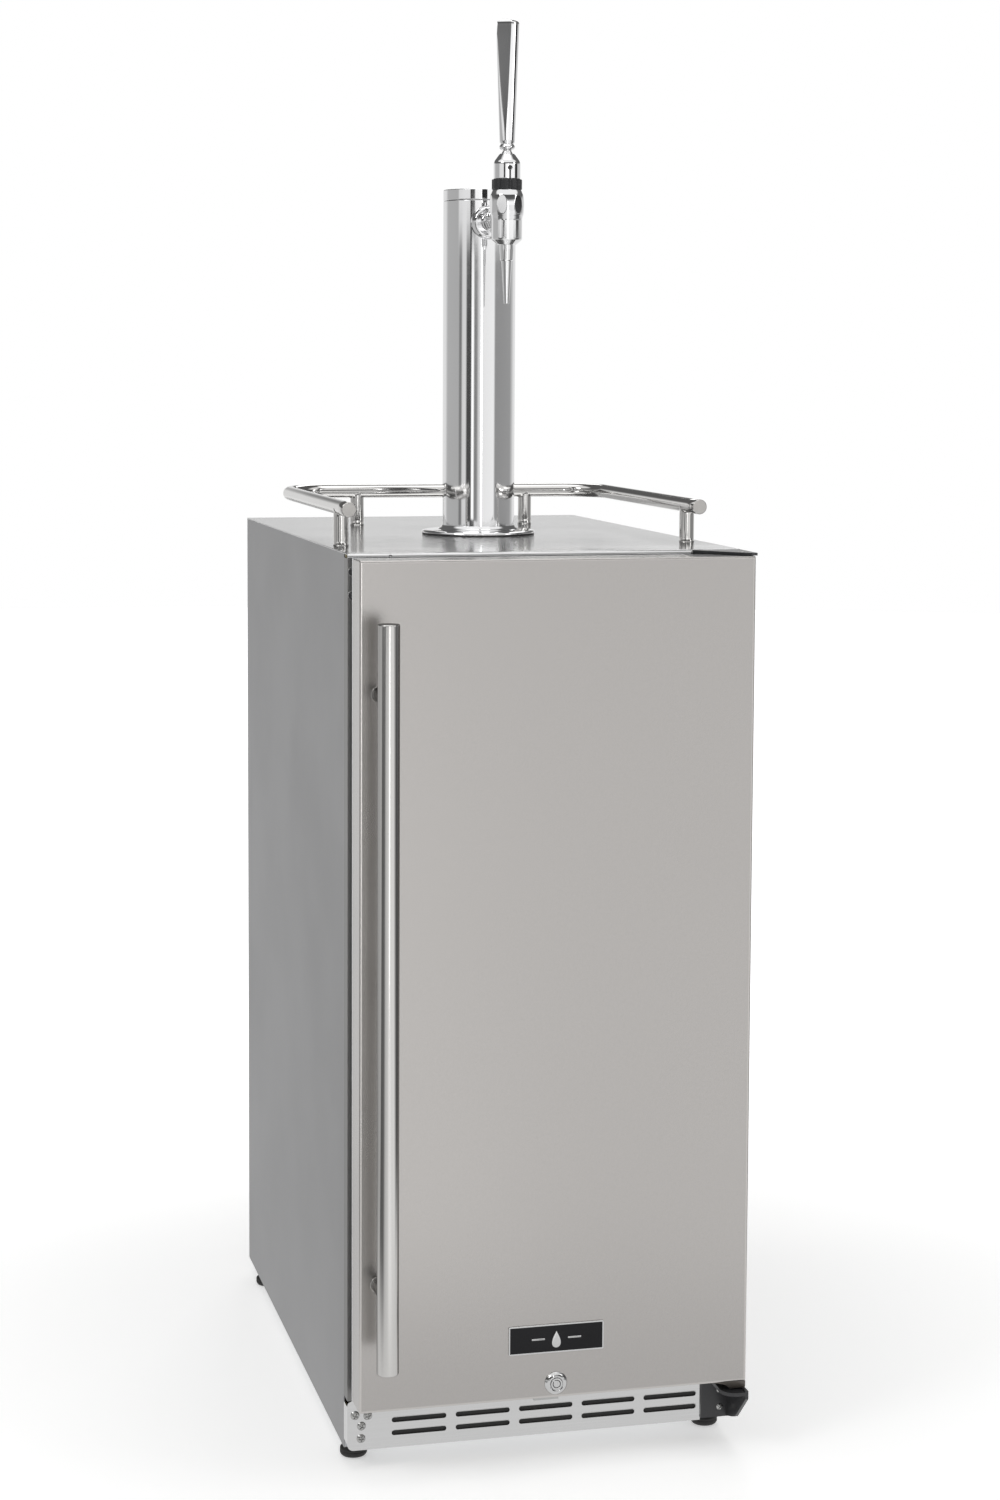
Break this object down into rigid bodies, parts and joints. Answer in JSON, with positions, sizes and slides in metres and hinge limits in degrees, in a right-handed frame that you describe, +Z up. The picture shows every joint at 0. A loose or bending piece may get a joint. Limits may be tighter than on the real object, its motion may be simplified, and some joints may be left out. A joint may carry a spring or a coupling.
{
  "type": "kegerator",
  "caption": "Narrow undercounter kegerator: insulated steel cabinet with right-hinged locking door, bar handle, guard rail, tap tower and long-nosed tap.",
  "frame": {"origin": "on the floor under the middle of the whole object", "axes": "+Z up, front faces -Y, +X to the right seen from the front"},
  "size_m": [0.378, 0.7008, 1.371],
  "materials": {
    "side_steel": "satin",
    "door_steel": "fine brushed",
    "top_steel": "bright brushed",
    "handle_steel": "brushed",
    "chrome": "polished",
    "rail_steel": "polished steel",
    "black_plastic": "moulded",
    "black_rubber": "matt",
    "seal_grey": "soft",
    "black_steel": "satin black",
    "hinge_fittings": "dark",
    "fastener_steel": "bright",
    "lock_chrome": "polished",
    "badge_plate": "gloss",
    "white_liner": "moulded",
    "foam": "rigid foam",
    "grey_plastic": "moulded",
    "fan_plastic": "moulded",
    "dark_window": "smoked",
    "button_plastic": "moulded",
    "galvanised": "galvanised",
    "floor_steel": "brushed",
    "coil_aluminium": "mill",
    "condenser_metal": "black enamel",
    "motor_metal": "cast"
  },
  "bodies": {
    "cabinet": {"back_panel": "galvanised", "base_pan": "galvanised", "bottom_hinge_bracket": "black_steel", "compressor": "black_steel", "condenser": "condenser_metal", "control_housing": "grey_plastic", "control_windows": "dark_window", "evaporator_coil": "coil_aluminium", "evaporator_cover": "grey_plastic", "fan_motors": "motor_metal", "floor_plate": "floor_steel", "foam_insulation": "foam", "front_frame": "door_steel", "front_screws": "fastener_steel", "gas_line_grommet": "black_plastic", "guard_rail": "rail_steel", "hinge_hole_plugs": "black_plastic", "inner_liner": "white_liner", "kick_grille": "top_steel", "lock_strike": "fastener_steel", "power_inlet": "black_plastic", "rail_posts": "rail_steel", "rear_cover": "galvanised", "shank_flange": "chrome", "shank_nuts": "chrome", "side_panel_left": "side_steel", "side_panel_right": "side_steel", "tap_body": "chrome", "tap_bonnet": "chrome", "tap_collar": "black_plastic", "tap_nozzle": "chrome", "tap_shank": "chrome", "top_fasteners": "fastener_steel", "top_hinge_bracket": "black_steel", "top_panel": "top_steel", "tower_cap": "chrome", "tower_column": "chrome", "tower_flange": "chrome", "tower_gasket": "black_rubber"},
    "door": {"door_skin": "door_steel", "door_foam": "foam", "door_liner": "white_liner", "door_gasket": "seal_grey", "door_hinge_fittings": "hinge_fittings", "bar_handle": "handle_steel", "handle_standoffs": "handle_steel", "badge": "badge_plate", "lock_barrel": "lock_chrome"},
    "lock": {"lock_plug": "lock_chrome"},
    "tap_lever": {"tap_lever": "chrome"},
    "tap_plunger": {"tap_plunger": "chrome"},
    "circulation_fan": {"circulation_fan": "fan_plastic"},
    "condenser_fan": {"condenser_fan": "fan_plastic"},
    "button_colder": {"button_colder": "button_plastic"},
    "button_warmer": {"button_warmer": "button_plastic"},
    "button_lamp": {"button_lamp": "button_plastic"},
    "foot_front_left": {"foot_front_left": "black_rubber"},
    "foot_front_right": {"foot_front_right": "black_rubber"},
    "foot_rear_left": {"foot_rear_left": "black_rubber"},
    "foot_rear_right": {"foot_rear_right": "black_rubber"}
  },
  "joints": [
    {"name": "door_hinge", "type": "hinge", "parent": "cabinet", "child": "door", "pos_m": [0.1785, -0.2804, 0.073], "axis": [0, 0, 1], "range_deg": [0, 110]},
    {"name": "lock_turn", "type": "hinge", "parent": "door", "child": "lock", "pos_m": [0, -0.2594, 0.0869], "axis": [0, 1, 0], "range_deg": [0, 90]},
    {"name": "tap_pull", "type": "hinge", "parent": "cabinet", "child": "tap_lever", "pos_m": [0, -0.0834, 1.24], "axis": [1, 0, 0], "range_deg": [0, 25]},
    {"name": "plunger_lift", "type": "slide", "parent": "cabinet", "child": "tap_plunger", "axis": [0, 0, 1], "range_m": [0, 0.0036]},
    {"name": "circulation_spin", "type": "hinge", "parent": "cabinet", "child": "circulation_fan", "pos_m": [0, 0.2509, 0.584], "axis": [0, 1, 0], "continuous": true},
    {"name": "condenser_spin", "type": "hinge", "parent": "cabinet", "child": "condenser_fan", "pos_m": [-0.097, 0.2354, 0.1092], "axis": [0, 1, 0], "continuous": true},
    {"name": "press_colder", "type": "slide", "parent": "cabinet", "child": "button_colder", "axis": [0, 1, 0], "range_m": [0, 0.0015], "stiffness_N_per_m": 250},
    {"name": "press_warmer", "type": "slide", "parent": "cabinet", "child": "button_warmer", "axis": [0, 1, 0], "range_m": [0, 0.0015], "stiffness_N_per_m": 250},
    {"name": "press_lamp", "type": "slide", "parent": "cabinet", "child": "button_lamp", "axis": [0, 1, 0], "range_m": [0, 0.0015], "stiffness_N_per_m": 250},
    {"name": "level_front_left", "type": "slide", "parent": "cabinet", "child": "foot_front_left", "axis": [0, 0, -1], "range_m": [0, 0.015]},
    {"name": "level_front_right", "type": "slide", "parent": "cabinet", "child": "foot_front_right", "axis": [0, 0, -1], "range_m": [0, 0.015]},
    {"name": "level_rear_left", "type": "slide", "parent": "cabinet", "child": "foot_rear_left", "axis": [0, 0, -1], "range_m": [0, 0.015]},
    {"name": "level_rear_right", "type": "slide", "parent": "cabinet", "child": "foot_rear_right", "axis": [0, 0, -1], "range_m": [0, 0.015]}
  ],
  "couplings": [
    {"joint": "plunger_lift", "follows": "tap_pull", "m_per_rad": 0.00825}
  ]
}
